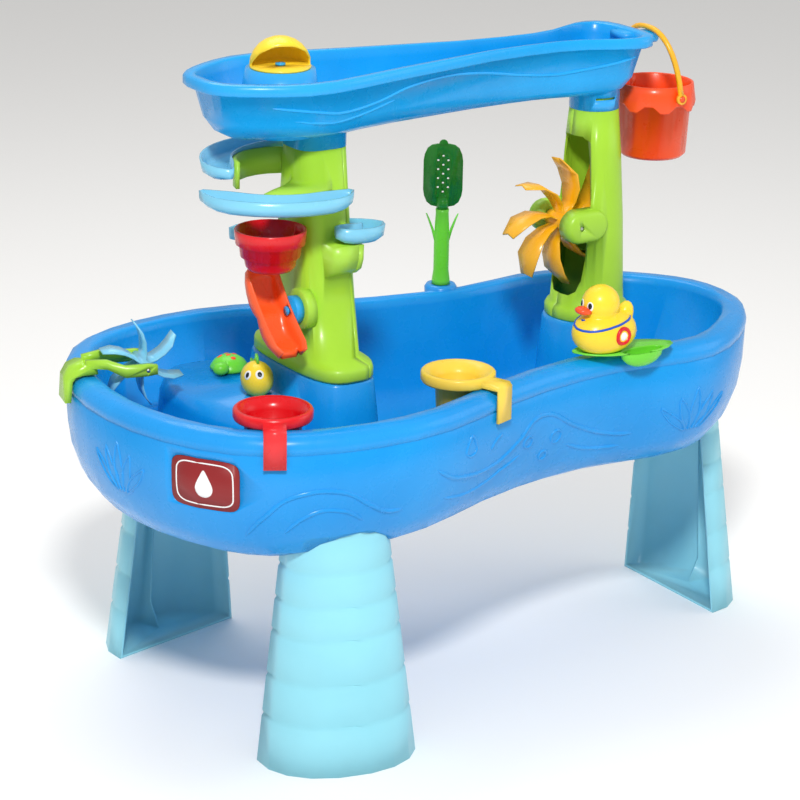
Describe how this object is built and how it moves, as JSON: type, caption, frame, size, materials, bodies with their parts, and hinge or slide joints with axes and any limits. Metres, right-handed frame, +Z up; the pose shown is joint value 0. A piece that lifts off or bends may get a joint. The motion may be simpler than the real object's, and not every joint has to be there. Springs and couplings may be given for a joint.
{
  "type": "sand and water table",
  "caption": "Child play table: peanut-shaped blue basin on grooved legs, with a spiral water tower, a wheel tower, a bridging tray, tipping bucket and loose water toys",
  "frame": {"origin": "on the floor, under the centre of the whole object", "axes": "+X along the long axis towards the wheel tower and the bucket, +Y towards the back rim, +Z up"},
  "size_m": [1.049, 0.6052, 0.9145],
  "materials": {
    "tub_blue": "smooth moulded polyethylene with a soft gloss",
    "tray_blue": "smooth moulded polyethylene with a soft gloss",
    "leg_ice": "smooth moulded polyethylene with a soft gloss",
    "channel_ice": "smooth moulded polyethylene with a soft gloss",
    "lime": "smooth moulded polyethylene with a soft gloss",
    "red": "smooth moulded polyethylene with a soft gloss",
    "orange": "smooth moulded polyethylene with a soft gloss",
    "yellow": "smooth moulded polyethylene with a soft gloss",
    "amber": "smooth moulded polyethylene with a soft gloss",
    "green": "smooth moulded polyethylene with a soft gloss",
    "spring_green": "smooth moulded polyethylene with a soft gloss",
    "steel": "brushed zinc-plated steel",
    "badge_red": null
  },
  "bodies": {
    "table": {"tub": "tub_blue", "leg_front_left": "leg_ice", "leg_back_left": "leg_ice", "leg_right": "leg_ice", "leg_screw_1": "steel", "leg_screw_2": "steel", "leg_screw_3": "steel", "badge": "badge_red", "spiral_tower_body": "lime", "spiral_tower_cover": "lime", "upper_channel": "channel_ice", "middle_channel": "channel_ice", "lower_channel": "channel_ice", "funnel": "red", "chute_pivot": "tray_blue", "wheel_tower_front": "lime", "wheel_tower_back": "lime", "wheel_axle": "steel", "upper_tray": "tray_blue", "dome_pin": "yellow", "launcher_base": "spring_green", "launcher_pin": "steel"},
    "dome": {"dome": "yellow"},
    "water_wheel": {"water_wheel": "amber"},
    "chute": {"chute": "orange"},
    "spinner_clip": {"spinner_clip": "lime", "spinner_axle": "steel"},
    "spinner_wheel": {"spinner_wheel": "channel_ice"},
    "red_cup": {"red_cup": "red"},
    "yellow_cup": {"yellow_cup": "yellow"},
    "launcher_leaf": {"launcher_leaf": "spring_green"},
    "duck": {"duck": "yellow", "duck_beak": "orange"},
    "bucket_handle": {"bucket_handle": "amber"},
    "bucket": {"bucket": "orange"},
    "scoop": {"scoop_handle": "spring_green", "scoop_blade": "green"},
    "fish": {"fish": "yellow", "fish_crest": "spring_green"},
    "turtle": {"turtle": "spring_green"},
    "drain_plug": {"drain_plug": "tub_blue"}
  },
  "joints": [
    {"name": "dome_turn", "type": "hinge", "parent": "table", "child": "dome", "pos_m": [-0.2471, 0, 0.873], "axis": [0, 0, 1], "continuous": true},
    {"name": "wheel_spin", "type": "hinge", "parent": "table", "child": "water_wheel", "pos_m": [0.2139, 0, 0.606], "axis": [0, 1, 0], "continuous": true},
    {"name": "chute_tip", "type": "hinge", "parent": "table", "child": "chute", "pos_m": [-0.2433, -0.04, 0.556], "axis": [1, 0, 0], "range_deg": [-90, 0]},
    {"name": "spinner_lift", "type": "slide", "parent": "table", "child": "spinner_clip", "axis": [0, 0, 1], "range_m": [0, 0.1]},
    {"name": "spinner_spin", "type": "hinge", "parent": "spinner_clip", "child": "spinner_wheel", "pos_m": [-0.4151, 0.075, 0.478], "axis": [0.2419, 0.9703, 0], "continuous": true},
    {"name": "red_cup_lift", "type": "slide", "parent": "table", "child": "red_cup", "axis": [0, 0, 1], "range_m": [0, 0.12]},
    {"name": "yellow_cup_lift", "type": "slide", "parent": "table", "child": "yellow_cup", "axis": [0, 0, 1], "range_m": [0, 0.12]},
    {"name": "launcher_tilt", "type": "hinge", "parent": "table", "child": "launcher_leaf", "pos_m": [0.18, -0.1809, 0.4724], "axis": [0.213, 0.977, 0], "range_deg": [-4, 4]},
    {"name": "duck_lift", "type": "slide", "parent": "launcher_leaf", "child": "duck", "axis": [0, 0, 1], "range_m": [0, 0.1]},
    {"name": "handle_swing", "type": "hinge", "parent": "table", "child": "bucket_handle", "pos_m": [0.3509, 0, 0.87], "axis": [0, 1, 0], "range_deg": [-25, 1]},
    {"name": "bucket_tip", "type": "hinge", "parent": "bucket_handle", "child": "bucket", "pos_m": [0.3699, 0, 0.7755], "axis": [0, 1, 0], "range_deg": [-70, 3]},
    {"name": "scoop_lift", "type": "slide", "parent": "table", "child": "scoop", "axis": [0, 0, 1], "range_m": [0, 0.15]},
    {"name": "fish_lift", "type": "slide", "parent": "table", "child": "fish", "axis": [0, 0, 1], "range_m": [0, 0.05]},
    {"name": "turtle_lift", "type": "slide", "parent": "table", "child": "turtle", "axis": [0, 0, 1], "range_m": [0, 0.1]},
    {"name": "plug_pull", "type": "slide", "parent": "table", "child": "drain_plug", "axis": [0, 0, 1], "range_m": [0, 0.05]}
  ]
}
